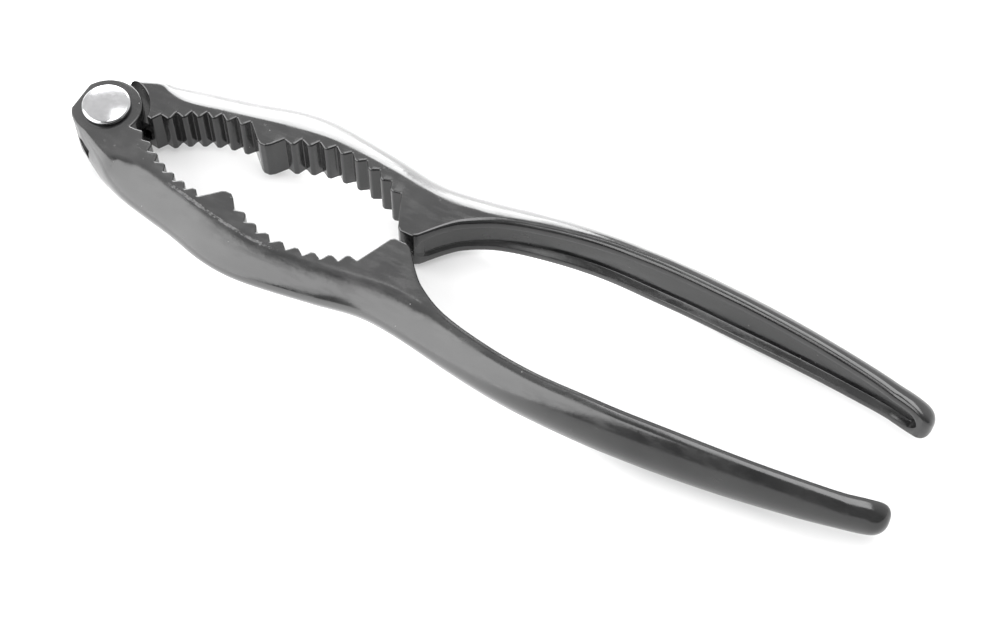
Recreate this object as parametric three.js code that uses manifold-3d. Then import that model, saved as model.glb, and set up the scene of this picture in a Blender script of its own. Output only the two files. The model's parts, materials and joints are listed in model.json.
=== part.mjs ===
// Nutcracker with two toothed levers that cross at a domed rivet.
// Both levers are the same casting. One is turned over, so that the two ears of each lever
// interleave with the ears of the other around the rivet.
// Millimetres, +Z up, +X from the rivet towards the handle tips, lying flat on z = 0.
import * as THREE from 'three';
import { mergeVertices } from 'three/addons/utils/BufferGeometryUtils.js';
import Module from 'manifold-3d';

const wasm = await Module();
wasm.setup();

// ---------------------------------------------------------------- driving dimensions
const REACH = 168.2;             // rivet axis to the handle tips
const RUNNING_GAP = 0.3;         // clearance between pieces that turn on or face each other

const EAR_RADIUS = 6.9;          // round ears under the rivet heads
const EAR_FACET = 6.1;           // rivet axis to the flat across the front of each ear
const EAR_THICKNESS = 2.3;       // one of the four stacked ears
const EAR_SWING_GAP = 1.4;       // radial room between an ear and the other lever's shoulder
const JAW_THICKNESS = 4 * EAR_THICKNESS + 3 * RUNNING_GAP;
const SHOULDER_RADIUS = EAR_RADIUS + EAR_SWING_GAP;

const SHANK_RADIUS = 2.5;        // rivet cap's hollow shank
const POST_RADIUS = 1.3;         // rivet post inside the hollow shank
const POST_DEPTH = 7.0;          // how far the post reaches into the shank
const HEAD_RADIUS = 4.8;         // domed rivet heads
const HEAD_RIM = 0.4;            // straight edge below the dome
const HEAD_DOME = 1.0;           // rise of the dome above that edge

const NUT_ARC = { x: 28.0, y: -17.1, radius: 27.0 };     // small nut hollow, root of its teeth
const NUT_TEETH = { first: -40.75, pitch: 6.35, count: 6 };
const WALNUT_ARC = { x: 47.1, y: -12.3, radius: 24.9 };  // large nut hollow, root of its teeth
const WALNUT_TEETH = { first: -30.0, pitch: 7.9, count: 8 };
const TOOTH_HEIGHT = 1.25;
const TOOTH_FLAT = 0.5;          // width of the blunt tooth tip
const LOBE = [[30.2, 6.6], [30.9, 6.25], [32.1, 6.25], [33.0, 7.0]];  // lobe between hollows
const MOUTH = [[7.3, 1.75], [9.3, 1.55]];                // jaw edge next to the ear
const TOE = [[63.9, 1.5], [64.6, 0.95], [67.3, 0.95], [68.2, 1.5]];   // nose that meets its twin

const HANDLE_HALF_HEIGHT = 6.75; // half the height of the fattest part of the handle
const RIM = 1.8;                 // wall above and below the channel in the grip's inner face
const CHANNEL_START = 70.0;
const CHANNEL_END = 160.0;
const CHANNEL_DEPTH = 1.6;
const BACK_START = -4.6;         // where the rounded back begins beside the rivet
const PLATE_END = 84.0;          // where the flat jaw has run out into the grip
const PLATE_OVERLAP = 0.8;       // how far the rounded back runs into the flat jaw
const PLATE_BLEND = 4.0;         // length over which the flat jaw hands over to the rounded grip
const GRIP_FLAT = 1.0;           // flat edge between the grip's inner face and its rounded back

// Edges of the lever seen from above, as offsets from the long axis at distances from the rivet.
// They are drawn for the ear radius and reach in DRAWN and follow those two sizes when they change.
const DRAWN = { ear: 6.9, toe: 68.2, reach: 168.2 };
const INNER_EDGE = [[68.2, 1.5], [71.7, 5.6], [74.3, 7.9], [80.4, 11.1], [90, 13.55], [100, 14.95],
  [110, 15.2], [120, 15.0], [140, 13.65], [155, 11.8], [163, 10.2], [166.2, 10.0], [168.2, 11.2]];
const RIDGE = [[-4.6, 4.2], [-2, 6.1], [1.2, 7.4], [3.5, 8.4], [6.4, 9.7], [8.6, 9.0], [12.6, 8.4],
  [21, 10.0], [33.5, 12.5], [43.8, 13.65], [56.7, 12.65], [69, 11.1], [77, 11.9], [82.5, 13.0],
  [90, 14.4]];
const OUTER_EDGE = [[-4.6, 5.1], [-1.7, 7.5], [0.8, 9.2], [5.7, 11.8], [12, 14.1], [24, 16.9], [32, 19.0],
  [38, 19.7], [44, 19.3], [56, 17.5], [65, 16.0], [72, 16.5], [85, 18.6], [95, 19.85], [105, 20.15],
  [120, 19.7], [135, 18.4], [150, 16.4], [160, 14.75], [165, 13.5], [168.2, 11.6]];
const EAR_LEAVES = 95;           // angle at which the outer edge leaves the round ear
const HALF_HEIGHT = [[76, 0], [85, 0.27], [95, 0.54], [105, 0.81], [114, 1], [126, 1], [135, 0.86],
  [145, 0.56], [155, 0.1], [160, -0.26]];    // 0 is the jaw's half thickness, 1 the handle's
const TIP_ROUND = 8.2;           // length over which the tip rounds down
const TIP_CURVE = 2.4;           // exponent of the tip's rounding
const TIP_HALF_HEIGHT = 1.0;     // half height left at the very tip

// ---------------------------------------------------------------- small helpers
const rad = THREE.MathUtils.degToRad;
const lerp = THREE.MathUtils.lerp;
const range = (count) => Array.from({ length: count }, (_, i) => i);
const halfJaw = JAW_THICKNESS / 2;
const handleRise = HANDLE_HALF_HEIGHT - halfJaw;
const axisHeight = Math.max(HANDLE_HALF_HEIGHT, halfJaw + RUNNING_GAP + HEAD_RIM + HEAD_DOME);

/** Distance along the lever for a drawn distance: ear, jaw and grip each keep their own size. */
function station(x) {
  const shift = EAR_RADIUS - DRAWN.ear;
  if (x <= DRAWN.ear) return x * EAR_RADIUS / DRAWN.ear;
  if (x <= DRAWN.toe) return x + shift;
  return DRAWN.toe + shift + (x - DRAWN.toe) * (REACH - DRAWN.toe - shift) / (DRAWN.reach - DRAWN.toe);
}

/** Smooth curve y(x) through the given points. Slopes come from the neighbours; level runs stay level. */
function through(points) {
  const p = points.map(([x, y]) => [station(x), y]);
  const slope = p.map((_, i) => {
    const a = p[Math.max(i - 1, 0)];
    const b = p[Math.min(i + 1, p.length - 1)];
    const level = a[1] === p[i][1] || b[1] === p[i][1];
    return level && i > 0 && i < p.length - 1 ? 0 : (b[1] - a[1]) / (b[0] - a[0]);
  });
  return (x) => {
    if (x <= p[0][0]) return p[0][1];
    if (x >= p.at(-1)[0]) return p.at(-1)[1];
    const i = p.findIndex((q) => q[0] > x) - 1;
    const w = p[i + 1][0] - p[i][0];
    const t = (x - p[i][0]) / w;
    return (1 + 2 * t) * (1 - t) ** 2 * p[i][1] + t * (1 - t) ** 2 * w * slope[i]
      + t * t * (3 - 2 * t) * p[i + 1][1] + t * t * (t - 1) * w * slope[i + 1];
  };
}

const innerEdge = through(INNER_EDGE);
const ridge = through(RIDGE);
const outerEdge = through(OUTER_EDGE);
const rise = through(HALF_HEIGHT);

/** Half the lever's height at a distance x from the rivet. */
function halfHeight(x) {
  const full = halfJaw + handleRise * rise(x);
  const start = REACH - TIP_ROUND;
  if (x <= start) return full;
  const t = (x - start) / TIP_ROUND;
  return TIP_HALF_HEIGHT + (full - TIP_HALF_HEIGHT) * (1 - t ** TIP_CURVE) ** (1 / TIP_CURVE);
}

/** Merge a geometry's shared corners and make it a solid that can be cut and joined. */
function solid(geometry) {
  geometry.deleteAttribute('normal');
  geometry.deleteAttribute('uv');
  const g = mergeVertices(geometry, 1e-5);
  return new wasm.Manifold(new wasm.Mesh({
    numProp: 3,
    vertProperties: new Float32Array(g.attributes.position.array),
    triVerts: new Uint32Array(g.index.array),
  }));
}

/** Named mesh from a solid. */
function piece(name, body, material) {
  const m = body.getMesh();
  const geometry = new THREE.BufferGeometry();
  geometry.setAttribute('position', new THREE.BufferAttribute(new Float32Array(m.vertProperties), 3));
  geometry.setIndex(new THREE.BufferAttribute(new Uint32Array(m.triVerts), 1));
  geometry.computeVertexNormals();
  const mesh = new THREE.Mesh(geometry, material);
  mesh.name = name;
  return mesh;
}

/** Closed solid through cross-sections: rings[i] is a list of [x, y, z], wound the same way. */
function loft(rings) {
  const n = rings[0].length;
  const position = rings.flat(2);
  const index = [];
  for (const i of range(rings.length - 1)) {
    for (const j of range(n)) {
      const a = i * n + j;
      const b = i * n + (j + 1) % n;
      index.push(a, a + n, b, b, a + n, b + n);
    }
  }
  for (const [ring, first] of [[rings[0], 0], [rings.at(-1), (rings.length - 1) * n]]) {
    const centre = [0, 1, 2].map((k) => ring.reduce((sum, p) => sum + p[k], 0) / n);
    const c = position.length / 3;
    position.push(...centre);
    for (const j of range(n)) {
      const a = first + j;
      const b = first + (j + 1) % n;
      index.push(...(first === 0 ? [c, a, b] : [c, b, a]));
    }
  }
  const geometry = new THREE.BufferGeometry();
  geometry.setAttribute('position', new THREE.Float32BufferAttribute(position, 3));
  geometry.setIndex(index);
  return solid(geometry);
}

/** Flat outline [x, y] extruded from z = low to z = high. */
function slab(points, low, high) {
  const shape = new THREE.Shape(points.map(([x, y]) => new THREE.Vector2(x, y)));
  const geometry = new THREE.ExtrudeGeometry(shape, { depth: high - low, bevelEnabled: false });
  return solid(geometry.translate(0, 0, low));
}

/** Round disc on the rivet axis from z = low to z = high. */
function disc(radius, low, high, segments = 48) {
  const geometry = new THREE.CylinderGeometry(radius, radius, high - low, segments);
  return solid(geometry.rotateX(Math.PI / 2).translate(0, 0, (low + high) / 2));
}

// ---------------------------------------------------------------- outline of the flat jaw
/** Blunt teeth around one nut hollow: root, tip, tip, root, ... along an arc. */
function teeth(arc, row) {
  const at = (degrees, radius) => [
    arc.x + radius * Math.sin(rad(degrees)), arc.y + radius * Math.cos(rad(degrees))];
  const halfFlat = THREE.MathUtils.radToDeg(TOOTH_FLAT / 2 / arc.radius);
  const points = [at(row.first, arc.radius)];
  for (const k of range(row.count)) {
    const middle = row.first + (k + 0.5) * row.pitch;
    points.push(at(middle - halfFlat, arc.radius - TOOTH_HEIGHT));
    points.push(at(middle + halfFlat, arc.radius - TOOTH_HEIGHT));
    points.push(at(row.first + (k + 1) * row.pitch, arc.radius));
  }
  return points;
}

/** Round ear from the outer edge, the far way round, to the jaw's mouth. */
function earArc() {
  const from = rad(EAR_LEAVES);
  const to = Math.atan2(MOUTH[0][1], MOUTH[0][0]) + 2 * Math.PI;
  return range(31).map((i) => {
    const a = lerp(from, to, i / 31);
    return [Math.max(EAR_RADIUS * Math.cos(a), -EAR_FACET), EAR_RADIUS * Math.sin(a)];
  });
}

const stations = (from, to, step) => {
  const count = Math.ceil((to - from) / step);
  return range(count + 1).map((i) => lerp(from, to, i / count));
};

const plateEnd = station(PLATE_END);

/** The whole flat part, seen from above: ear, teeth, lobe, toe, and back along the ridge. */
function jawOutline() {
  const inner = [...MOUTH, ...teeth(NUT_ARC, NUT_TEETH), ...LOBE, ...teeth(WALNUT_ARC, WALNUT_TEETH), ...TOE];
  const bite = inner.map(([x, y]) => [station(x), y]);
  const grip = stations(station(DRAWN.toe), plateEnd, 2.5).slice(1).map((x) => [x, innerEdge(x)]);
  const back = stations(station(1.2), plateEnd, 3).reverse().map((x) => [x, ridge(x)]);
  return [...bite, ...grip, ...back, ...earArc()];
}

// ---------------------------------------------------------------- rounded back and grip
/** Cross-section at x: flat at the inner side, then an elliptical back round to the other face. */
function backSection(x) {
  const h = halfHeight(x);
  const steps = 10;
  const gripFlat = Math.min(GRIP_FLAT, (outerEdge(x) - innerEdge(x)) / 4);
  const edge = x < plateEnd ? ridge(x) : innerEdge(x) + gripFlat;
  const inside = x < plateEnd - PLATE_BLEND ? edge - PLATE_OVERLAP : innerEdge(x);
  const depth = outerEdge(x) - edge;
  const curve = range(steps + 1).map((i) => {
    const a = Math.PI * (0.5 - i / steps);
    return [x, edge + depth * Math.cos(a), h * Math.sin(a)];
  });
  return [[x, inside, -h], [x, inside, h], ...curve];
}

/** Channel along the inner face of the grip, with a rounded end. */
function channelSection(x) {
  const end = Math.min(x - station(CHANNEL_START), station(CHANNEL_END) - x);
  const full = halfHeight(x) - RIM;
  const h = end < full ? Math.sqrt(full ** 2 - (full - end) ** 2) : full;
  const face = innerEdge(x);
  return [[x, face - 3, -h], [x, face - 3, h], [x, face + CHANNEL_DEPTH, h], [x, face + CHANNEL_DEPTH, -h]];
}

/** One casting, rivet axis at the origin, outer side at +Y, its shallow recess on top. */
function lever() {
  const tip = range(5).map((i) => REACH - TIP_ROUND * (1 - (i + 1) / 5) ** 2);
  const back = loft([...stations(station(BACK_START), REACH - TIP_ROUND, 4), ...tip].map(backSection));
  const start = station(CHANNEL_START);
  const end = station(CHANNEL_END);
  const channelXs = [start + 0.3, start + 1.2, ...stations(start + 3, end - 4, 5), end - 1.5, end - 0.4];
  const recess = disc(SHOULDER_RADIUS, halfJaw - EAR_THICKNESS - RUNNING_GAP, halfJaw + 1);
  const slotLow = -halfJaw + EAR_THICKNESS;
  const slot = disc(SHOULDER_RADIUS, slotLow, slotLow + EAR_THICKNESS + 2 * RUNNING_GAP);
  const bore = disc(SHANK_RADIUS + RUNNING_GAP, -halfJaw - 1, halfJaw + 1, 32);
  return slab(jawOutline(), -halfJaw, halfJaw)
    .add(back)
    .subtract(recess)
    .subtract(slot)
    .subtract(bore)
    .subtract(loft(channelXs.map(channelSection)));
}

// ---------------------------------------------------------------- rivet
/** Domed head above its underside: rim and spherical cap, as radius and height pairs. */
function headProfile(under) {
  const sphere = (HEAD_RADIUS ** 2 + HEAD_DOME ** 2) / (2 * HEAD_DOME);
  const spread = Math.asin(HEAD_RADIUS / sphere);
  const top = under + HEAD_RIM + HEAD_DOME;
  return [[HEAD_RADIUS, under], ...range(8).map((i) => {
    const a = spread * (1 - i / 7);
    return [sphere * Math.sin(a), top - sphere * (1 - Math.cos(a))];
  })];
}

/** Solid of revolution about the rivet axis. */
function turned(profile, segments = 40) {
  const points = profile.map(([r, z]) => new THREE.Vector2(r < 1e-6 ? 0 : r, z));
  return solid(new THREE.LatheGeometry(points, segments).rotateX(Math.PI / 2));
}

const under = halfJaw + RUNNING_GAP;

/** Head with a hollow shank that reaches almost to the other head. */
function rivetCap() {
  const shankEnd = -under + RUNNING_GAP;
  const hollowTop = shankEnd + POST_DEPTH + RUNNING_GAP;
  const hollow = POST_RADIUS + RUNNING_GAP;
  return turned([[0, hollowTop], [hollow, hollowTop], [hollow, shankEnd], [SHANK_RADIUS, shankEnd],
    [SHANK_RADIUS, under], ...headProfile(under)]);
}

/** Head with a solid post, pressed into the hollow shank from below. Drawn the same way up. */
function rivetPost() {
  const postEnd = under - RUNNING_GAP - POST_DEPTH;
  return turned([[0, postEnd], [POST_RADIUS, postEnd], [POST_RADIUS, under], ...headProfile(under)]);
}

// ---------------------------------------------------------------- assembly
const blackCoat = new THREE.MeshStandardMaterial({ color: 0x2b2b2d, roughness: 0.28, metalness: 0.75 });
const polished = new THREE.MeshStandardMaterial({ color: 0xdcdddf, roughness: 0.08, metalness: 1.0 });

const nutcracker = new THREE.Group();
nutcracker.position.set(-(REACH - EAR_FACET) / 2, 0, axisHeight);

const leftLever = piece('left_lever', lever(), blackCoat);
nutcracker.add(leftLever);

const rightLever = piece('right_lever', lever(), blackCoat);
rightLever.rotation.x = Math.PI;
nutcracker.add(rightLever);

nutcracker.add(piece('rivet_cap', rivetCap(), polished));

const post = piece('rivet_post', rivetPost(), polished);
post.rotation.x = Math.PI;
nutcracker.add(post);

export default nutcracker;
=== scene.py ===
# %% [markdown]
# # A hand nutcracker, drawn as surfaces
# Two cast levers with a glossy black coat cross at a polished rivet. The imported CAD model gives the
# true sizes and the hinge. This script dresses it: it works out each casting and each rivet head as
# numpy surfaces, gives them procedural finishes, and sets up a small studio.

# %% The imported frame
import json
import math

import bmesh
import bpy
import numpy as np
from mathutils import Euler, Matrix, Vector
from mathutils.geometry import tessellate_polygon


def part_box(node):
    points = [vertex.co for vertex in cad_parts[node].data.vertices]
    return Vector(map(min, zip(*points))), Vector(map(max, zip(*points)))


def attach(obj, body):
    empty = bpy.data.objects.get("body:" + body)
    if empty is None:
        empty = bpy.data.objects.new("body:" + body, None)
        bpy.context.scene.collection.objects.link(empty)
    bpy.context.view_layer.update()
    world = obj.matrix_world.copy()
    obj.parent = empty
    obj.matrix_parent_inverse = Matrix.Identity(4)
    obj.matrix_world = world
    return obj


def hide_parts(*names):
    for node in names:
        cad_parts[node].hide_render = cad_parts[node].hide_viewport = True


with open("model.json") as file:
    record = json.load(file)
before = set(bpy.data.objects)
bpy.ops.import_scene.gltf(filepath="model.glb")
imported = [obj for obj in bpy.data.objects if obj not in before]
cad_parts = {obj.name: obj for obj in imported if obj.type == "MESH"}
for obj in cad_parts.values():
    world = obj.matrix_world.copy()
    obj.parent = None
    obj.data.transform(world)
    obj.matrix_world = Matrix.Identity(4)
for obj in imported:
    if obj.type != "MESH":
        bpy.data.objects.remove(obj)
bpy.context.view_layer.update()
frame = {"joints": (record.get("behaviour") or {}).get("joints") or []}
MM = 0.001
PIVOT = np.array(frame["joints"][0]["pos_m"]) / MM
lever_low, lever_high = (np.array(corner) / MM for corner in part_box("left_lever"))
print("rivet axis at", PIVOT.round(2), "mm; lever box", (lever_high - lever_low).round(2), "mm")

# %% [markdown]
# ## Working coordinates
# A lever is drawn lying along +X with the rivet axis at the origin, its outer side towards +Y and the
# middle plane at z = 0, all in millimetres. The two castings are the same, so the second one is the
# first turned half a turn about X. Only the last step moves a piece to its place in metres.

# %% Main sizes
REACH = lever_high[0] - PIVOT[0]          # rivet axis to the grip's tip
GRIP_HALF = (lever_high[2] - lever_low[2]) / 2  # half the height of the fattest part of the grip
JAW_HALF = 5.05                           # half the thickness of the flat jaw
EAR_RADIUS, EAR_FACET = 6.9, 6.1          # the ears' circle, and the flat that cuts it at the front
SHOULDER_RADIUS = 8.3                     # hollow that clears the other lever's ear
SLOT_RADIUS = 9.5                         # how far out the slot between the two ears runs at the back
BORE = 2.8                                # radius of the hole for the rivet
EDGE = 0.4                                # rounding between the flat faces and the bite
TIP_ROUNDING, ROOT_ROUNDING = 0.38, 0.16  # rolling-ball radii at tooth tips and roots
FLOORS = (-2.75, 0.15, 2.45)              # heights where an ear starts or ends
HEAD_JOIN = 9.4                           # distance at which the head hands over to the jaw
BITE_START = HEAD_JOIN - 4                # where the bite's outline begins, under the ears
print("reach", round(REACH, 2), "grip half height", round(GRIP_HALF, 2))


def curve(points):
    """Smooth y(x): a cubic piece between each two points, h00*y0 + h10*w*s0 + h01*y1 + h11*w*s1. The
    slope s at a point is the slope between its two neighbours, or level beside a level run. Outside
    the points the end value is kept."""
    px, py = np.array(points, float).T
    slope = np.gradient(py, px)
    slope[1:-1] = (py[2:] - py[:-2]) / (px[2:] - px[:-2])
    level = (py[1:-1] == py[:-2]) | (py[1:-1] == py[2:])
    slope[1:-1][level] = 0

    def at(x):
        x = np.clip(x, px[0], px[-1])
        i = np.clip(np.searchsorted(px, x, side="right") - 1, 0, len(px) - 2)
        w = px[i + 1] - px[i]
        t = (x - px[i]) / w
        return (
            (1 + 2 * t) * (1 - t) ** 2 * py[i] + t * (1 - t) ** 2 * w * slope[i]
            + t * t * (3 - 2 * t) * py[i + 1] + t * t * (t - 1) * w * slope[i + 1]
        )

    return at


# %% [markdown]
# ## The edges seen from above
# The bite is a run of blunt teeth on two arcs, with a round lobe between them and a nose at the end.
# Behind the nose the inner edge opens into the long bow of the grip. The ridge is where the flat face
# ends and the rounded back begins.

# %% Edge curves
inner_grip = curve([(68.2, 1.5), (71.7, 5.6), (74.3, 7.9), (80.4, 11.1), (90, 13.55), (100, 14.95),
                    (110, 15.2), (120, 15.0), (140, 13.65), (155, 11.75), (163, 10.1), (168.2, 8.5)])
ridge = curve([(-4.6, 4.2), (-2, 6.1), (1.2, 7.4), (3.5, 8.4), (6.4, 9.7), (8.6, 9.0), (12.6, 8.4),
               (21, 10.0), (33.5, 12.5), (43.8, 13.65), (56.7, 12.65), (69, 11.1), (77, 11.9),
               (82.5, 13.1), (87, 14.2), (92, 15.2), (100, 16.35), (110, 16.65), (120, 16.45),
               (140, 15.1), (155, 13.25), (163, 11.7), (168.2, 10.4)])
outer = curve([(-4.6, 5.1), (-1.7, 7.5), (0.8, 9.2), (5.7, 12.0), (12, 14.5), (24, 17.25), (32, 19.4),
               (38, 20.1), (44, 19.75), (56, 18.0), (65, 16.5), (72, 16.95), (85, 19.1), (95, 20.35),
               (105, 20.65), (120, 20.2), (135, 18.9), (150, 16.9), (160, 15.2), (168.2, 13.4)])
# How the back rounds over: 0.5 is an ellipse, and 1 is a parabola that leaves the ridge at a crease.
crease = curve([(-4.6, 0.5), (3, 0.5), (9, 0.97), (20, 1), (60, 1), (70, 0.9), (95, 0.75),
                (150, 0.72), (168.2, 0.55)])
# How much the grip is taller than the jaw: 0 is the jaw's height, and 1 is the fattest part.
swell = curve([(76, 0), (85, 0.27), (95, 0.54), (105, 0.81), (114, 1), (126, 1), (135, 0.86),
               (145, 0.56), (155, 0.1), (160, -0.26)])


def teeth(x, y, radius, first, pitch, count, height=1.25, flat=0.75):
    """Blunt teeth on an arc. Angles are degrees from +Y about the arc's centre (x, y). Each tooth
    goes root, tip, tip, root; the tips are nearer the centre by the tooth's height."""
    half_flat = np.degrees(flat / 2 / radius)
    middle = first + pitch * (np.arange(count) + 0.5)
    angles = np.stack([middle - pitch / 2, middle - half_flat, middle + half_flat], axis=1).ravel()
    angles = np.radians(np.append(angles, first + pitch * count))
    reach = radius - np.append(np.tile([0, height, height], count), 0)
    return np.stack([x + reach * np.sin(angles), y + reach * np.cos(angles)], axis=1)


bite = np.vstack([
    [(BITE_START, 1.75), (7.9, 1.75), (9.3, 1.55)],
    teeth(28.0, -17.1, 27.0, -40.75, 6.35, 6),
    [(30.2, 6.6), (30.9, 6.25), (32.1, 6.25), (33.0, 7.0)],
    teeth(47.1, -12.3, 24.9, -30.0, 7.9, 8),
    [(63.9, 1.5), (64.6, 0.95), (67.3, 0.95), (68.2, 1.5)],
])
print("bite outline has", len(bite), "points")

# %% [markdown]
# ## Rounding with a rolling ball
# A cast tooth has no sharp corner. Rolling a disc along an edge and keeping its furthest reach moves
# the edge by the disc's radius. Rolling it there and back again leaves every corner on one side
# rounded with that radius, and straight stretches where they were.

# %% Rolled edges
STEP = 0.025
fine_x = np.arange(BITE_START, REACH + STEP, STEP)


def rolled(edge, radius):
    """Edge moved towards +Y by the disc's radius, or towards -Y for a negative radius. At each x it
    is the largest of (edge + height of the disc there) over all discs centred on the edge."""
    n = int(round(abs(radius) / STEP))
    offset = np.arange(-n, n + 1) * STEP
    disc = np.sqrt(np.maximum(radius**2 - offset**2, 0))
    windows = np.lib.stride_tricks.sliding_window_view(np.pad(edge, n, mode="edge"), 2 * n + 1)
    return (windows + disc).max(axis=1) if radius > 0 else (windows - disc).min(axis=1)


toe_end = bite[-1, 0]
raw = np.where(fine_x < toe_end, np.interp(fine_x, bite[:, 0], bite[:, 1]), inner_grip(fine_x))
inner = rolled(rolled(raw, TIP_ROUNDING), -TIP_ROUNDING)
inner = rolled(rolled(inner, -ROOT_ROUNDING), ROOT_ROUNDING)
slope = np.gradient(inner, STEP)
print("inner edge length", round(float(np.hypot(STEP, np.diff(inner)).sum()), 1), "mm")

# %% [markdown]
# ## Heights
# Every section of the lever uses the same ladder of heights: a small rounding at each face, and
# between them rungs whose heights are sines of nearly even angles. Three of them are moved to the
# floors, which are the heights where an ear starts or ends.

# %% The ladder of heights
ROUND_STEPS = 4
turn = np.linspace(0, math.pi / 2, ROUND_STEPS + 1)
WALL_ANGLES = [-61.5, -54.5, -47.5, -40.5, -33, -26, -19, -12, -5, 1.7, 8.5, 15.5, 22.5, 29, 36, 42.5,
               49, 55.5, 62]                   # degrees round the section from the middle plane
FLOOR_PLACES = [4, 9, 13]                      # rungs of the wall that are moved to the floors
wall = JAW_HALF * np.sin(np.radians(WALL_ANGLES))
wall[FLOOR_PLACES] = FLOORS
top_rungs = JAW_HALF - EDGE + EDGE * np.sin(turn)
rungs = np.concatenate([-top_rungs[::-1], wall, top_rungs])
face_inset = EDGE * (1 - np.cos(turn))
edge_inset = np.concatenate([face_inset[::-1], np.zeros(len(wall)), face_inset])
share = rungs / JAW_HALF                       # height as a share of the half height, -1 to 1
floor_rungs = [ROUND_STEPS + 1 + i for i in FLOOR_PLACES]
insets = {
    round(float(d), 6): rolled(inner, d) if d > STEP / 2 else inner for d in np.unique(edge_inset)
}
print(len(rungs), "rungs; floors at", rungs[floor_rungs].round(2))


def inner_at(x, inset):
    """Inner edge at x, moved into the metal by one of the insets in the ladder."""
    return np.interp(x, fine_x, insets[round(float(inset), 6)])


def back_at(x, part, inset=0.0):
    """Rounded back at distance x and height share part: ridge + depth times (1 - part^2)^crease, less
    the inset that rounds the crease itself."""
    return ridge(x) + (outer(x) - ridge(x)) * np.maximum(1 - part**2, 0) ** crease(x) - inset


# %% [markdown]
# ## Jaw and grip as one sweep
# From the head to the tip the lever is a closed section carried along X. Sections stand close
# together along the teeth and far apart along the grip. The grip's inner face has a long channel
# between two rims. Its depth is a smooth step across the lip, and it fades at both ends.

# %% Stations along the lever
CHANNEL = (67.5, 165.4)                        # where the channel starts and ends
CHANNEL_DEPTH = 1.35
NOSE_DEPTH = 0.45                              # share of that depth that is left beside the nose
DEEPENS = (72, 22)                             # where it starts to deepen, and over what length
RIM = 2.1                                      # height of each rim beside the channel
CHANNEL_END_ROUND = 2.4                        # radius of the channel's outline at its ends
CHANNEL_END_SLOPE = 0.9                        # length over which its floor rises at its ends
DRAFT = 0.8                                    # height over which the channel's wall slopes in
GRIP_START = (65, 2.6)                         # where sections turn from jaw to grip, and the length
GRIP_EDGE = 1.0                                # rounding of the grip's inner edges
EDGE_GROWS = (64.5, 14)                        # where that rounding starts to grow, and the length
TIP_HEIGHT_ROUND, TIP_HEIGHT_POWER = 7.0, 2.6  # length and fullness of the tip seen from the side
TIP_WIDTH_ROUND, TIP_WIDTH_POWER = 2.6, 2.2    # the same seen from above
RIDGE_MARGIN = 0.9                             # a row of points on the flat faces beside the ridge


def smooth(t):
    """0 below 0, 1 above 1, and 3t^2 - 2t^3 between."""
    t = np.clip(t, 0, 1)
    return t * t * (3 - 2 * t)


def ramp(x, start, length):
    """Smooth step from 0 at start to 1 a length further on."""
    return smooth((x - start) / length)


gap = np.interp(fine_x, [9, 67.5, 68.3, 72, 78, 154, 159, 162, 166, 168.2],
                [0.17, 0.17, 0.12, 0.3, 1.0, 1.0, 0.35, 0.25, 0.2, 0.03])
along = fine_x >= HEAD_JOIN
walked = np.cumsum(np.hypot(1, np.minimum(np.abs(slope), 12)) * STEP / gap * along)
count = int(walked[-1] - walked[along][0])
station = np.interp(np.linspace(walked[along][0], walked[-1], count), walked[along], fine_x[along])
station[0], station[-1] = HEAD_JOIN, REACH
print(count, "stations from", station[0], "to", round(station[-1], 1))


# %% Sections of the jaw and grip
past_lip = np.array([-0.5, -0.1, 0, 0.06, 0.16, 0.45, 0.74, 0.84, 1.0])  # rungs from the rim inwards
LIP_SOFTNESS = 0.003                           # how softly the wall bends at the rim and the floor
TILT_START = (68.6, 0.6)                       # where the channel starts to follow the edge's normal
THIN_TIP = 2.5                                 # below this half height the rims close up
LEAST_FLAT = 0.1                               # least width left beside the inner edge


def squircle(t, power):
    """Rounded end: (1 - t^power)^(1/power) for t from 0 at its start to 1 at the tip."""
    return (1 - np.clip(t, 0, 1) ** power) ** (1 / power)


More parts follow.
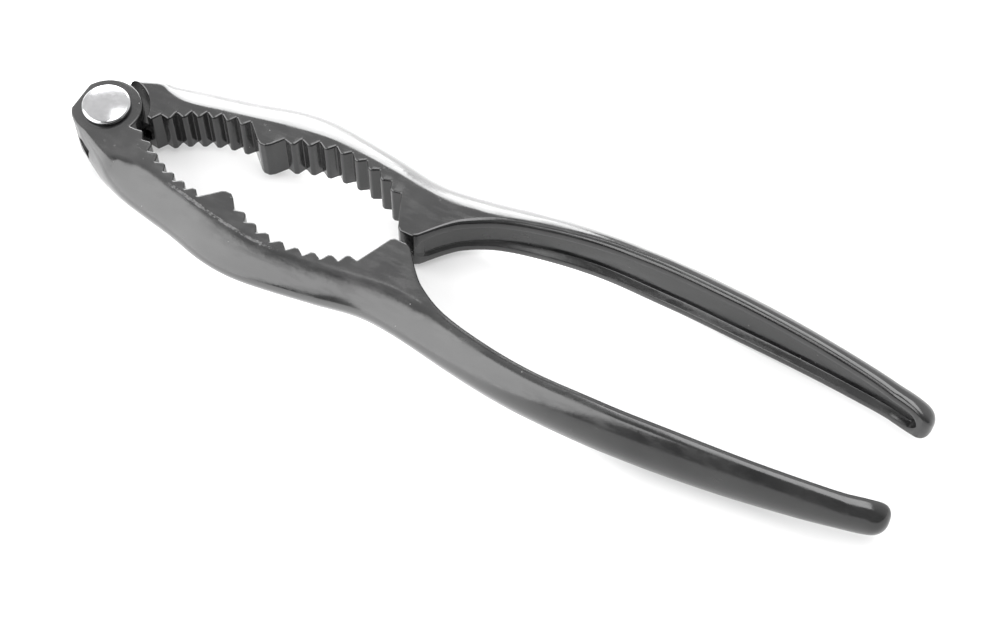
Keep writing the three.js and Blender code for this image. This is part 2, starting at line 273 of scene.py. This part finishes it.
def sweep_sections(x):
    """Array [station, point on the section, xyz]. The inner side climbs the ladder, with the channel
    pushed in along the edge's own normal by depth times a step that is 0 at the rim and 1 on the
    floor. The outer side comes down the ladder on the rounded back. Near the tip the height and the
    width shrink as two rounded ends."""
    half = JAW_HALF + (GRIP_HALF - JAW_HALF) * swell(x)
    half = half * squircle((x - REACH + TIP_HEIGHT_ROUND) / TIP_HEIGHT_ROUND, TIP_HEIGHT_POWER)
    thin = squircle((x - REACH + TIP_WIDTH_ROUND) / TIP_WIDTH_ROUND, TIP_WIDTH_POWER)
    middle = (np.interp(x, fine_x, inner) + outer(x)) / 2

    to_end = np.minimum(x - CHANNEL[0], CHANNEL[1] - x)
    q = np.clip(to_end / CHANNEL_END_ROUND, 0, 1)
    lip = np.maximum(half - RIM, 0) * np.sqrt(1 - (1 - q) ** 2)
    rim_scale = np.minimum(half / THIN_TIP, 1)[:, None]
    wall_scale = (lip / (GRIP_HALF - RIM))[:, None]
    upper = lip[:, None] - past_lip * np.where(past_lip < 0, rim_scale, wall_scale)
    grip_wall = np.concatenate([-upper, np.zeros((len(x), 1)), upper[:, ::-1]], axis=1)
    in_grip = ramp(x, *GRIP_START)[:, None]
    widen = (GRIP_EDGE / EDGE - 1) * ramp(x, *EDGE_GROWS)[:, None]
    scale = (half / JAW_HALF)[:, None]
    height = scale * rungs
    inside = slice(ROUND_STEPS + 1, len(rungs) - ROUND_STEPS - 1)
    drop = np.minimum(1, scale) * (JAW_HALF - np.abs(rungs)) * (1 + widen)
    edge_height = np.sign(rungs) * (half[:, None] - drop)
    height = height + in_grip * (edge_height - height)
    height[:, inside] = (1 - in_grip) * scale * rungs[inside] + in_grip * grip_wall

    t = past_lip / DRAFT
    across = (1 + np.sqrt(t**2 + LIP_SOFTNESS) - np.sqrt((t - 1) ** 2 + LIP_SOFTNESS)) / 2
    profile = np.concatenate([across, [1], across[::-1]])
    depth = np.zeros_like(height)
    deepest = CHANNEL_DEPTH * (NOSE_DEPTH + (1 - NOSE_DEPTH) * ramp(x, *DEEPENS))
    depth[:, inside] = (deepest * smooth(to_end / CHANNEL_END_SLOPE))[:, None] * profile
    tilt = np.arctan(np.interp(x, fine_x, slope) * ramp(x, *TILT_START))[:, None]

    inner_y = np.stack([inner_at(x, d) for d in edge_inset], axis=1)
    inner_x = x[:, None] - depth * np.sin(tilt)
    inner_y = inner_y + depth * np.cos(tilt) + edge_inset * widen / np.cos(tilt)
    outer_y = back_at(x[:, None], share[None, ::-1], edge_inset[None, ::-1])
    beside_ridge = np.maximum(ridge(x) - RIDGE_MARGIN, inner_y[:, -1] + LEAST_FLAT)[:, None]
    level = half[:, None]
    outer_x = np.broadcast_to(x[:, None], (len(x), outer_y.shape[1] + 2))
    sections = np.stack([
        np.concatenate([inner_x, outer_x], axis=1),
        np.concatenate([inner_y, beside_ridge, outer_y, beside_ridge], axis=1),
        np.concatenate([height, level, level * share[None, ::-1], -level], axis=1),
    ], axis=2)
    sections[:, :, 1] = middle[:, None] + (sections[:, :, 1] - middle[:, None]) * thin[:, None]
    return sections


body = sweep_sections(station)
print("swept sections", body.shape)

# %% [markdown]
# ## The head with its interleaved ears
# Four round ears stack on the rivet, two from each lever. Seen as slices, a lever is either an ear
# with a rounded front, or it is cut back to the hollow shoulder that the other lever's ear turns in.
# Each slice is a path from the bite round the front to the back. Slices of one kind form a side wall,
# and flat faces close the walls at the heights where the kind changes.

# %% Paths round the head
BITE_COUNT, ARC_COUNT, BACK_COUNT = 10, 36, 26  # points on a path's bite, hollow arc and back
EAR_COUNT, LEAD_COUNT, FLARE_COUNT = 73, 7, 13  # points on an ear's circle and at its two ends
MOUTH = 6.7                                     # where an ear's circle starts on the bite side
EAR_END = 131.8                                 # degrees at which the circle hands over to the back


def crossing(f, low, high):
    """Where f first changes sign between low and high, from a fine table of values."""
    x = np.linspace(low, high, 4001)
    first_change = np.nonzero(np.diff(np.sign(f(x))))[0][0]
    return x[first_change]


def head_path(rung, ear):
    """Points of one slice from the bite to the back. Shared ends run along the bite and the back to
    the joining section. Between them an ear follows its circle, cut by the front flat, and a
    shoulder follows the hollow arc, whose radius grows from the bite to the back in the slot."""
    inset, part, z = edge_inset[rung], share[rung], rungs[rung]
    hollow = SHOULDER_RADIUS + (0 if ear else inset)
    hollow_out = hollow + np.interp(z, FLOORS[1:], [SLOT_RADIUS - SHOULDER_RADIUS, 0])
    x_in = crossing(lambda x: np.hypot(x, inner_at(x, inset)) - hollow, 6.5, HEAD_JOIN)
    x_out = crossing(lambda x: np.hypot(x, back_at(x, part, inset)) - hollow_out, -4.0, 6.0)
    xs = np.linspace(HEAD_JOIN, x_in, BITE_COUNT)
    bite_side = np.stack([xs, inner_at(xs, inset)], axis=1)
    t = np.linspace(0, 1, BACK_COUNT)
    xs = x_out + (HEAD_JOIN - x_out) * t
    back_side = np.stack([xs, back_at(xs, part, inset)], axis=1)
    if ear:
        radius = EAR_RADIUS - inset
        start = math.asin(inner_at(MOUTH, inset) / radius)
        xs = np.linspace(x_in, radius * math.cos(start), LEAD_COUNT)[1:]
        lead_in = np.stack([xs, inner_at(xs, inset)], axis=1)
        angle = np.linspace(start, math.radians(EAR_END) - 2 * math.pi, EAR_COUNT)[1:]
        circle = radius * np.stack([np.cos(angle), np.sin(angle)], axis=1)
        circle[:, 0] = np.maximum(circle[:, 0], -(EAR_FACET - inset))
        xs = np.linspace(circle[-1, 0], x_out, FLARE_COUNT)[1:]
        on_circle = np.sqrt(np.maximum(radius**2 - xs**2, 0))
        flare = np.stack([xs, np.maximum(on_circle, back_at(xs, part, inset))], axis=1)
        flare[-1] = back_side[0]
        front = np.vstack([lead_in, circle, flare[:-1]])
    else:
        first, last = math.atan2(bite_side[-1, 1], x_in), math.atan2(back_side[0, 1], x_out)
        angle = np.linspace(first, last, ARC_COUNT)
        radius = hollow + (hollow_out - hollow) * smooth(np.linspace(0, 1, ARC_COUNT))
        front = (radius * [np.cos(angle), np.sin(angle)]).T[1:-1]
    path = np.vstack([bite_side, front, back_side])
    return np.column_stack([path, np.full(len(path), z)])


print("ear slice", head_path(10, True).shape, "shoulder slice", head_path(10, False).shape)


# %% [markdown]
# ## Collecting faces
# A small collector takes grids, fans and flat faces, then welds shared points. Because neighbouring
# parts were worked out from the same functions, their points meet and the casting closes.

# %% A collector for surfaces
WELD, NO_LENGTH = 2e-7, 1e-8                   # metres: points this near are one, edges this short go
SHARP = math.radians(38)                       # edges that turn by more than this stay sharp


class Surface:
    """Points and faces of one closed piece, in the lever's own millimetres."""

    def __init__(self):
        self.points, self.quads, self.triangles, self.size = [], [], [], 0

    def _add(self, points):
        """Keeps the points and returns the number of the first one."""
        self.points.append(np.asarray(points, float).reshape(-1, 3))
        start, self.size = self.size, self.size + len(self.points[-1])
        return start

    def grid(self, rows, closed=False):
        """Quads between neighbouring rows; closed joins each row's last point to its first."""
        rows = np.asarray(rows)
        start = self._add(rows)
        n, m = rows.shape[:2]
        left = (np.arange(n - 1)[:, None] * m + np.arange(m if closed else m - 1)).ravel()
        right = np.where(left % m == m - 1, left - m + 1, left + 1)
        self.quads.append(start + np.stack([left, right, right + m, left + m], axis=1))

    def flat(self, loop, hole=None):
        """Triangles that fill a level outline, with an optional hole."""
        loops = [loop] if hole is None else [loop, hole]
        start = self._add(np.vstack(loops))
        found = tessellate_polygon([[Vector((p[0], p[1], 0)) for p in ring] for ring in loops])
        self.triangles.append(start + np.array(found))

    def fan(self, loop, tip):
        """Triangles from one point to each edge of a closed loop."""
        start = self._add(np.vstack([loop, [tip]]))
        corner, centre = np.arange(len(loop)), np.full(len(loop), len(loop))
        self.triangles.append(start + np.stack([corner, np.roll(corner, -1), centre], axis=1))

    def mesh(self, name, turn=lambda p: p):
        """Welded mesh in metres, placed at the rivet, with its faces pointing out."""
        points = (turn(np.vstack(self.points)) + PIVOT) * MM
        faces = [q for block in self.quads for q in block.tolist()]
        faces += [t for block in self.triangles for t in block.tolist()]
        mesh = bpy.data.meshes.new(name)
        mesh.from_pydata(points.tolist(), [], faces)
        bm = bmesh.new()
        bm.from_mesh(mesh)
        bmesh.ops.remove_doubles(bm, verts=bm.verts, dist=WELD)
        bmesh.ops.dissolve_degenerate(bm, edges=bm.edges, dist=NO_LENGTH)
        bmesh.ops.recalc_face_normals(bm, faces=bm.faces)
        open_edges = sum(not e.is_manifold for e in bm.edges)
        bm.to_mesh(mesh)
        bm.free()
        mesh.shade_smooth()
        mesh.set_sharp_from_angle(angle=SHARP)
        print(name, len(mesh.polygons), "faces,", open_edges, "open edges")
        return mesh


# %% One casting
BORE_COUNT = 48                                # points round a bore


def casting():
    """The whole lever: the sweep with its tip, four bands of head wall, five flat faces and two
    bores. The bands are ear, slot, ear and shoulder from below."""
    lever = Surface()
    lever.grid(body, closed=True)
    lever.fan(body[-1], body[-1].mean(axis=0))
    is_ear = [True, False, True, False]
    limits = [0, *floor_rungs, len(rungs) - 1]
    for low, high, ear in zip(limits, limits[1:], is_ear):
        lever.grid([head_path(rung, ear) for rung in range(low, high + 1)])
    angle = np.linspace(0, 2 * math.pi, BORE_COUNT + 1)[:-1]
    ring = BORE * np.stack([np.cos(angle), np.sin(angle), np.zeros(BORE_COUNT)], axis=1)
    lift = np.array([0, 0, 1.0])
    top_join, bottom_join = body[0, len(rungs)], body[0, -1]
    lever.flat(np.vstack([head_path(len(rungs) - 1, False), top_join]))
    lever.flat(np.vstack([head_path(0, True), bottom_join]), ring + rungs[0] * lift)
    for rung in floor_rungs:
        ear, hollow = head_path(rung, True), head_path(rung, False)
        front = ear[BITE_COUNT - 1:len(ear) - BACK_COUNT + 1]
        arc = hollow[BITE_COUNT - 1:len(hollow) - BACK_COUNT + 1]
        lever.flat(np.vstack([front, arc[-2:0:-1]]), ring + rungs[rung] * lift)
    for low, high in ((0, floor_rungs[0]), (floor_rungs[1], floor_rungs[2])):
        lever.grid([ring + rungs[low] * lift, ring + rungs[high] * lift], closed=True)
    return lever


lever_surface = casting()
left_mesh = lever_surface.mesh("far_casting")
right_mesh = lever_surface.mesh("near_casting", lambda p: p * [1, -1, -1])


# %% [markdown]
# ## Shared surface effects
# Three small node groups serve both finishes. The ripple group is the orange peel that a thick coat
# leaves when it dries. The dust group scatters sparse pale specks. The scratch group stretches noise
# into fine lines. Each gives only a mask or a height, so a material can use it where it needs it.

# %% Node helpers
def group(name, inputs, outputs):
    """New shader node group with named float or vector sockets."""
    tree = bpy.data.node_groups.new(name, "ShaderNodeTree")
    for socket, kind, value in inputs:
        made = tree.interface.new_socket(name=socket, in_out="INPUT", socket_type=kind)
        if value is not None:
            made.default_value = value
    for socket in outputs:
        tree.interface.new_socket(name=socket, in_out="OUTPUT", socket_type="NodeSocketFloat")
    return tree, tree.nodes.new("NodeGroupInput"), tree.nodes.new("NodeGroupOutput")


def add(tree, kind, settings=None, **links):
    """Node with its properties and socket values set. A key such as i2 is a socket's number, and any
    other key is its name. A linked value is an output socket."""
    node = tree.nodes.new("ShaderNode" + kind)
    for key, value in (settings or {}).items():
        setattr(node, key, value)
    for key, value in links.items():
        numbered = key[0] == "i" and key[1:].isdigit()
        socket = node.inputs[int(key[1:]) if numbered else key]
        if isinstance(value, bpy.types.NodeSocket):
            tree.links.new(value, socket)
        else:
            socket.default_value = value
    return node


def combine(tree, operation, *values):
    """Result of a Math node: one operation on two or three values."""
    sockets = {f"i{number}": value for number, value in enumerate(values)}
    return add(tree, "Math", {"operation": operation}, **sockets).outputs[0]


def noise(tree, place, scale, detail, roughness=0.5):
    """Noise between 0 and 1, with its scale in cycles per metre."""
    node = add(tree, "TexNoise", Vector=place, Scale=scale, Detail=detail, Roughness=roughness)
    return node.outputs[0]


def mix(tree, mask, below, above):
    """Colour that goes from one to the other as the mask goes from 0 to 1."""
    return add(tree, "Mix", {"data_type": "RGBA"}, i0=mask, i6=below, i7=above).outputs[2]


def window(tree, value, low, high, to_low=0.0, to_high=1.0):
    """Smooth ramp of a value from one range to another."""
    node = add(tree, "MapRange", {"interpolation_type": "SMOOTHSTEP"}, Value=value)
    ends = {"From Min": low, "From Max": high, "To Min": to_low, "To Max": to_high}
    for name, number in ends.items():
        node.inputs[name].default_value = number
    return node.outputs["Result"]


# %% Ripple, dust and scratches
def build_ripple():
    """Height of about 0 to 1: a broad wave plus a finer one, both in cycles per metre."""
    tree, given, result = group(
        "coat_ripple", [("Place", "NodeSocketVector", None), ("Wave", "NodeSocketFloat", 160.0),
                        ("Peel", "NodeSocketFloat", 1400.0)], ["Height"])
    wave = noise(tree, given.outputs["Place"], given.outputs["Wave"], 1.0)
    peel = noise(tree, given.outputs["Place"], given.outputs["Peel"], 2.0)
    tree.links.new(combine(tree, "MULTIPLY_ADD", peel, 0.24, wave), result.inputs["Height"])
    return tree


def build_dust():
    """Mask of round specks: near a cell's centre, in the few cells whose random value is low."""
    tree, given, result = group(
        "dust_specks", [("Place", "NodeSocketVector", None), ("Cells", "NodeSocketFloat", 700.0),
                        ("Share", "NodeSocketFloat", 0.05), ("Radius", "NodeSocketFloat", 0.12)],
        ["Mask"])
    cells = add(tree, "TexVoronoi", Vector=given.outputs["Place"], Scale=given.outputs["Cells"])
    random = add(tree, "SeparateColor", Color=cells.outputs["Color"])
    chosen = combine(tree, "LESS_THAN", random.outputs[0], given.outputs["Share"])
    size = combine(tree, "MULTIPLY", random.outputs[1], given.outputs["Radius"])
    inside = combine(tree, "SUBTRACT", size, cells.outputs["Distance"])
    dot = window(tree, inside, -0.03, 0.03)
    tree.links.new(combine(tree, "MULTIPLY", dot, chosen), result.inputs["Mask"])
    return tree


def build_scratches():
    """Mask of fine broken lines: noise stretched in one direction, where it passes a limit."""
    tree, given, result = group(
        "fine_scratches", [("Place", "NodeSocketVector", None), ("Density", "NodeSocketFloat", 900.0),
                           ("Amount", "NodeSocketFloat", 0.1)], ["Mask"])
    stretched = add(tree, "Mapping", Vector=given.outputs["Place"],
                    Rotation=(0, 0, 0.3), Scale=(0.22, 1.0, 1.0))
    lines = noise(tree, stretched.outputs[0], given.outputs["Density"], 4.0)
    limit = combine(tree, "SUBTRACT", 1.0, given.outputs["Amount"])
    over = combine(tree, "SUBTRACT", lines, limit)
    tree.links.new(window(tree, over, -0.42, -0.34), result.inputs["Mask"])
    return tree


ripple, dust, scratches = build_ripple(), build_dust(), build_scratches()
print("node groups:", [tree.name for tree in (ripple, dust, scratches)])


# %% Placing a group in a material
def effect(tree, shared, place, **values):
    """One of the shared groups, placed in a material with its own values."""
    node = tree.nodes.new("ShaderNodeGroup")
    node.node_tree = shared
    tree.links.new(place, node.inputs["Place"])
    for key, value in values.items():
        node.inputs[key].default_value = value
    return node.outputs[0]


def blank_material(name):
    """New material with its node tree, its Principled shader and the Object coordinates."""
    material = bpy.data.materials.new(name)
    material.use_nodes = True
    tree = material.node_tree
    return material, tree, tree.nodes["Principled BSDF"], add(tree, "TexCoord").outputs["Object"]


# %% [markdown]
# ## The black coat
# The castings are dipped or sprayed with a glossy black coat. A plain dielectric does this: almost no
# colour of its own, and a clear mirror layer. What makes it look real is small: the gloss varies in
# patches, the surface waves slightly, and a few specks of dust sit in it. A paler line is painted
# into
# the colour along the ridge: partly wear where the lever slides on a table, partly a painted
# highlight for the bright line that the ridge catches. It follows an attribute that the mesh carries
# along its ridge.

# %% Black coat
def make_coat():
    """Black dielectric. Roughness is the gloss of the patches plus hair lines, ridge wear and dust.
    The paler line along the ridge in its colour is partly wear and partly a painted highlight.
    """
    material, tree, shader, place = blank_material("black_coat")
    specks = effect(tree, dust, place, Cells=1000.0, Share=0.05, Radius=0.16)
    pits = effect(tree, dust, place, Cells=1300.0, Share=0.03, Radius=0.3)
    lines = effect(tree, scratches, place, Density=900.0, Amount=0.09)
    patches = noise(tree, place, 85.0, 3.0, 0.6)

    # The ridge attribute carries a paler line: partly wear, partly a painted highlight of the ridge.
    wear_and_highlight = add(tree, "Attribute", {"attribute_name": "ridge_wear_and_highlight"}).outputs["Fac"]
    crumbs = noise(tree, place, 1500.0, 4.0, 0.7)
    wear_and_highlight_mask = window(tree, combine(tree, "MULTIPLY", wear_and_highlight, crumbs), 0.34, 0.56)

    deep, thin_coat = (0.006, 0.006, 0.0062, 1), (0.013, 0.013, 0.013, 1)
    black = mix(tree, window(tree, patches, 0.35, 0.7), deep, thin_coat)
    # Paler grey along the ridge: partly wear, partly a painted highlight.
    worn_and_highlit = mix(tree, wear_and_highlight_mask, black, (0.06, 0.06, 0.06, 1))
    dusty = mix(tree, specks, worn_and_highlit, (0.1, 0.1, 0.098, 1))
    tree.links.new(dusty, shader.inputs["Base Color"])

    gloss = window(tree, patches, 0.3, 0.75, 0.13, 0.2)
    with_lines = combine(tree, "MULTIPLY_ADD", lines, 0.08, gloss)
    matt = combine(tree, "MAXIMUM", wear_and_highlight_mask, specks)
    rough = combine(tree, "MULTIPLY_ADD", matt, 0.3, with_lines)
    tree.links.new(rough, shader.inputs["Roughness"])

    peel = effect(tree, ripple, place, Wave=190.0, Peel=1500.0)
    lowered = combine(tree, "MULTIPLY_ADD", pits, -0.5, peel)
    raised = combine(tree, "MULTIPLY_ADD", matt, 0.25, lowered)
    bump = add(tree, "Bump", Height=raised, Strength=0.5, Distance=0.00007)
    tree.links.new(bump.outputs[0], shader.inputs["Normal"])
    shader.inputs["IOR"].default_value = 1.56
    return material


coat = make_coat()
print("coat nodes:", len(coat.node_tree.nodes))

# %% Wear and painted highlight along the ridge
WEAR_AND_HIGHLIGHT_WIDTH = 0.6                                # mm on each side of the ridge
WEAR_AND_HIGHLIGHT_STARTS, WEAR_AND_HIGHLIGHT_ENDS = (15, 9), (52, 10)       # mm from the rivet, and the lengths of the fades
LEAST_WEAR_AND_HIGHLIGHT = 0.35                               # share of the wear and painted highlight that is left elsewhere


def mark_ridge(mesh, side, strength):
    """Attribute along the ridge for its paler line of wear and painted highlight: exp(-(d / width)^2)
    of the distance d to the ridge in mm, on both flat faces, strongest beside the lobe."""
    points = np.empty(len(mesh.vertices) * 3)
    mesh.vertices.foreach_get("co", points)
    x, y, z = (points.reshape(-1, 3) / MM - PIVOT).T
    distance = np.abs(side * y - ridge(x))
    zone = ramp(x, *WEAR_AND_HIGHLIGHT_STARTS) * ramp(-x, -WEAR_AND_HIGHLIGHT_ENDS[0], WEAR_AND_HIGHLIGHT_ENDS[1])
    on_face = np.abs(z) > 0.85 * JAW_HALF
    wear_and_highlight = np.exp(-(distance / WEAR_AND_HIGHLIGHT_WIDTH) ** 2) * on_face * (LEAST_WEAR_AND_HIGHLIGHT + (1 - LEAST_WEAR_AND_HIGHLIGHT) * zone)
    mesh.attributes.new("ridge_wear_and_highlight", "FLOAT", "POINT").data.foreach_set("value", wear_and_highlight * strength)
    print(mesh.name, "rubbed points", int((wear_and_highlight * strength > 0.3).sum()))


# The near lever gets a stronger line of wear and painted highlight than the far one.
mark_ridge(left_mesh, 1, 0.55)
mark_ridge(right_mesh, -1, 1.0)


# %% Levers in the scene
def show(mesh, body_name, node, material):
    """Puts a mesh in the scene, riding on its body in place of its CAD node."""
    piece = bpy.data.objects.new(mesh.name, mesh)
    bpy.context.scene.collection.objects.link(piece)
    mesh.materials.append(material)
    weighted = piece.modifiers.new("flat faces stay flat", "WEIGHTED_NORMAL")
    weighted.keep_sharp = True
    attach(piece, body_name)
    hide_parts(node)
    return piece


show(left_mesh, "left_lever_body", "left_lever", coat)
show(right_mesh, "right_lever_body", "right_lever", coat)

# %% [markdown]
# ## The rivet
# A headed rivet holds the ears together, and its far end is pressed into a second head. Both heads
# are low polished domes, drawn as one profile turned about the axis. The rolled rim catches a thin
# line.

# %% Rivet heads
HEAD_RADIUS, HEAD_HEIGHT, HEAD_EDGE = 4.8, 1.7, 0.6
HEAD_GAP = 0.02                                # between the ear's face and the head's underside
STUB_RADIUS, STUB_START = 2.5, 0.6             # the shank inside the bore, from near the middle plane
AROUND = 96                                    # points round the head


def rivet_head():
    """Lathe surface: a shank, an underside, a rolled edge and a spherical dome, turned about z. The
    sphere's radius is (c^2 + rise^2 - e^2) / (2 (rise - e)), where e is the edge's radius, c the
    radius at which its centre runs, and rise the dome's top above that centre."""
    under, top = JAW_HALF + HEAD_GAP, JAW_HALF + HEAD_HEIGHT
    centre_r, centre_z = HEAD_RADIUS - HEAD_EDGE, under + HEAD_EDGE
    rise = top - centre_z
    sphere = (centre_r**2 + rise**2 - HEAD_EDGE**2) / (2 * (rise - HEAD_EDGE))
    spread = math.asin(centre_r / (sphere - HEAD_EDGE))
    roll = np.linspace(-math.pi / 2, math.pi / 2 - spread, 9)
    edge = np.stack([centre_r + HEAD_EDGE * np.cos(roll), HEAD_EDGE * np.sin(roll)], axis=1)
    edge[:, 1] += centre_z
    a = np.linspace(spread, 0, 26)[1:]
    dome = np.stack([sphere * np.sin(a), top - sphere + sphere * np.cos(a)], axis=1)
    shank = np.array([(0.0, STUB_START), (STUB_RADIUS, STUB_START), (STUB_RADIUS, under)])
    profile = np.vstack([shank, edge, dome])
    angle = np.linspace(0, 2 * math.pi, AROUND + 1)[:-1]
    rows = np.stack([
        profile[:, 0, None] * np.cos(angle), profile[:, 0, None] * np.sin(angle),
        np.broadcast_to(profile[:, 1, None], (len(profile), len(angle))),
    ], axis=2)
    head = Surface()
    head.grid(rows, closed=True)
    widest, highest = profile.max(axis=0).round(2)
    print("head top at", highest, "radius", widest)
    return head


# %% [markdown]
# ## Polished steel
# The heads are the only bare metal. A mirror would be too clean: real polish has a fine haze, faint
# lines and a little dirt. The metal stays one plain value, and only roughness, colour and a very low
# bump vary over it.

# %% Polished steel
def make_steel():
    """Plain metal. Haze and fine lines vary its roughness, and specks of dirt darken it."""
    material, tree, shader, place = blank_material("polished_steel")
    haze = noise(tree, place, 1100.0, 4.0, 0.65)
    lines = effect(tree, scratches, place, Density=2600.0, Amount=0.1)
    specks = effect(tree, dust, place, Cells=1500.0, Share=0.05, Radius=0.3)
    dark, light = (0.33, 0.33, 0.335, 1), (0.35, 0.35, 0.355, 1)
    tone = mix(tree, window(tree, haze, 0.35, 0.65), dark, light)
    dirty = mix(tree, specks, tone, (0.15, 0.15, 0.15, 1))
    tree.links.new(dirty, shader.inputs["Base Color"])
    rough = combine(tree, "MULTIPLY_ADD", lines, 0.03, window(tree, haze, 0.3, 0.7, 0.14, 0.18))
    tree.links.new(rough, shader.inputs["Roughness"])
    waves = effect(tree, ripple, place, Wave=260.0, Peel=3000.0)
    bump = add(tree, "Bump", Height=waves, Strength=0.12, Distance=0.00002)
    tree.links.new(bump.outputs[0], shader.inputs["Normal"])
    shader.inputs["Metallic"].default_value = 1
    return material


steel = make_steel()
print("steel nodes:", len(steel.node_tree.nodes))

# %% Rivet heads in the scene
head_surface = rivet_head()
top_head = head_surface.mesh("top_rivet_head")
rear_head = head_surface.mesh("rear_rivet_head", lambda p: p * [1, -1, -1])
show(top_head, "right_lever_body", "rivet_cap", steel)
show(rear_head, "right_lever_body", "rivet_post", steel)

# %% [markdown]
# ## The studio
# A glossy black object shows the room more than itself. It lies on a pale light table, which glows
# most on both sides of the jaws. A large softbox hangs overhead, a wide one stands low to the left
# of the camera, and a small, brighter one at the back left draws the pale band on the far lever.
# The room in front is dim, which keeps the front of the grips black.

# %% Light table
TABLE_HALF = 3                                 # metres from the middle to each side of the table


def make_table():
    """Pale matt sheet lit from below. Its glow is a base plus a part that is strong beside the jaws
    and fades along the grips, as the product of two smooth ramps."""
    material, tree, shader, place = blank_material("pale_table")
    shader.inputs["Base Color"].default_value = (0.42, 0.42, 0.42, 1)
    shader.inputs["Roughness"].default_value = 0.8
    shader.inputs["Specular IOR Level"].default_value = 0.2
    facing = add(tree, "VectorMath", {"operation": "DOT_PRODUCT"}, i0=place, i1=(-1, 0.3, 0))
    left = window(tree, facing.outputs["Value"], -0.053, 0.012)
    aside = combine(tree, "ABSOLUTE", add(tree, "SeparateXYZ", Vector=place).outputs["Y"])
    beside = window(tree, aside, 0.008, 0.021)
    glow = combine(tree, "MULTIPLY_ADD", combine(tree, "MULTIPLY", left, beside), 2.4, 0.36)
    shader.inputs["Emission Color"].default_value = (1, 1, 1, 1)
    tree.links.new(glow, shader.inputs["Emission Strength"])
    return material


floor_mesh = bpy.data.meshes.new("table")
corners = [(-1, -1, 0), (1, -1, 0), (1, 1, 0), (-1, 1, 0)]
floor_mesh.from_pydata([TABLE_HALF * Vector(corner) for corner in corners], [], [(0, 1, 2, 3)])
floor = bpy.data.objects.new("table", floor_mesh)
bpy.context.scene.collection.objects.link(floor)
floor_mesh.materials.append(make_table())

# %% Softboxes
VIEW_TURN = math.radians(27.09)                # how far the camera stands round from straight ahead


def toward(azimuth, elevation):
    """Unit vector at an azimuth from +X towards +Y and an elevation above the floor, in degrees."""
    a, e = math.radians(azimuth), math.radians(elevation)
    return Vector((math.cos(a) * math.cos(e), math.sin(a) * math.cos(e), math.sin(e)))


def softbox(name, place, width, height, radiance):
    """Rectangular area light that faces the object. Its power is radiance times pi times its area."""
    light = bpy.data.lights.new(name, "AREA")
    light.shape, light.size, light.size_y = "RECTANGLE", width, height
    light.energy = radiance * math.pi * width * height
    lamp = bpy.data.objects.new(name, light)
    bpy.context.scene.collection.objects.link(lamp)
    lamp.location = place
    lamp.rotation_euler = (place - Vector((0, 0, 0.01))).to_track_quat("Z", "Y").to_euler()
    lamp.visible_camera = False
    print(name, "radiance", radiance, "at", [round(v, 2) for v in place])
    return lamp


HANG = 0.9                                     # metres from the table up to the overhead softbox
SIDE, DEEP = (-0.12, 0.55), (-0.42, 0.52)      # its edges across and in depth, as shares of HANG
centre = Vector((sum(SIDE) / 2, sum(DEEP) / 2, 1)) * HANG
centre.rotate(Euler((0, 0, VIEW_TURN)))
overhead_width, overhead_depth = HANG * (SIDE[1] - SIDE[0]), HANG * (DEEP[1] - DEEP[0])
overhead = softbox("overhead_softbox", centre, overhead_width, overhead_depth, 5.5)
overhead.rotation_euler = (0, 0, VIEW_TURN)
softbox("left_softbox", toward(-136, 27) * 0.8, 1.15, 0.95, 5.0)
softbox("back_left_softbox", Vector((-0.198, 0.25, 0.085)), 0.27, 0.18, 10.0)

# %% Dim room
world = bpy.data.worlds.new("studio")
bpy.context.scene.world = world
world.use_nodes = True
tree = world.node_tree
direction = add(tree, "TexCoord").outputs["Generated"]
facing = add(tree, "VectorMath", {"operation": "DOT_PRODUCT"}, i0=direction, i1=toward(115, 0))
glow = window(tree, facing.outputs["Value"], -0.7, 0.5, 0.4, 1.6)
tree.links.new(glow, tree.nodes["Background"].inputs["Strength"])
tree.nodes["Background"].inputs["Color"].default_value = (1, 1, 1, 1)
print("room light runs from 0.4 in front to 1.6 behind")

# %% [markdown]
# ## The camera
# A long lens looks down at a steep angle, with the rivet at the upper left and the grips at the lower
# right. The small roll is how the camera was held.

# %% Camera
AIM, DISTANCE = Vector((0.00853, -0.00645, 0.01003)), 0.36652
ELEVATION, ROLL = math.radians(58.38), math.radians(0.356)
turned = Euler((math.pi / 2 - ELEVATION, 0, VIEW_TURN)).to_matrix() @ Matrix.Rotation(ROLL, 3, "Z")
camera_data = bpy.data.cameras.new("camera")
camera = bpy.data.objects.new("camera", camera_data)
bpy.context.scene.collection.objects.link(camera)
camera_data.lens, camera_data.sensor_width, camera_data.clip_start = 72, 36, 0.01
camera.location = AIM + turned @ Vector((0, 0, DISTANCE))
camera.rotation_euler = turned.to_euler()
bpy.context.scene.camera = camera
bpy.context.scene.view_settings.view_transform = "Standard"
print("camera at", [round(v, 3) for v in camera.location])
